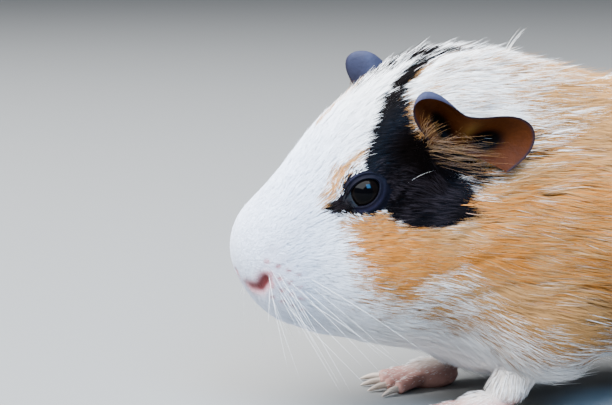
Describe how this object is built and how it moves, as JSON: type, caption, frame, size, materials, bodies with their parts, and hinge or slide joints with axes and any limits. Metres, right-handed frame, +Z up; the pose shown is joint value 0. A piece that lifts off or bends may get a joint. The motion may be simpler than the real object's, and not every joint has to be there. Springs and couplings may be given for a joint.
{
  "type": "guinea pig",
  "caption": "Life-size short-haired guinea pig with a white, black and orange coat, standing still on its four feet with its head low.",
  "frame": {"origin": "on the floor, under the middle of the length", "axes": "the animal faces -Y, its left side is +X, +Z is up"},
  "size_m": [0.094, 0.2315, 0.1066],
  "materials": {
    "coat_white": "soft white fur",
    "coat_peach": "soft peach fur with white hairs",
    "coat_orange": "soft orange fur",
    "ear_skin": "bare brown skin, grey outside",
    "foot_skin": "pink skin under short hair",
    "eye": "wet and clear",
    "claw": "smooth horn"
  },
  "bodies": {
    "root": {"head": "coat_white", "neck": "coat_peach", "trunk": "coat_orange", "eye_left": "eye", "ear_left": "ear_skin", "leg_front_left": "coat_peach", "leg_hind_left": "coat_peach", "foot_front_left": "foot_skin", "foot_hind_left": "foot_skin", "claw_front_left_1": "claw", "claw_front_left_2": "claw", "claw_front_left_3": "claw", "claw_front_left_4": "claw", "claw_hind_left_1": "claw", "claw_hind_left_2": "claw", "claw_hind_left_3": "claw", "eye_right": "eye", "ear_right": "ear_skin", "leg_front_right": "coat_peach", "leg_hind_right": "coat_peach", "foot_front_right": "foot_skin", "foot_hind_right": "foot_skin", "claw_front_right_1": "claw", "claw_front_right_2": "claw", "claw_front_right_3": "claw", "claw_front_right_4": "claw", "claw_hind_right_1": "claw", "claw_hind_right_2": "claw", "claw_hind_right_3": "claw"}
  },
  "joints": []
}
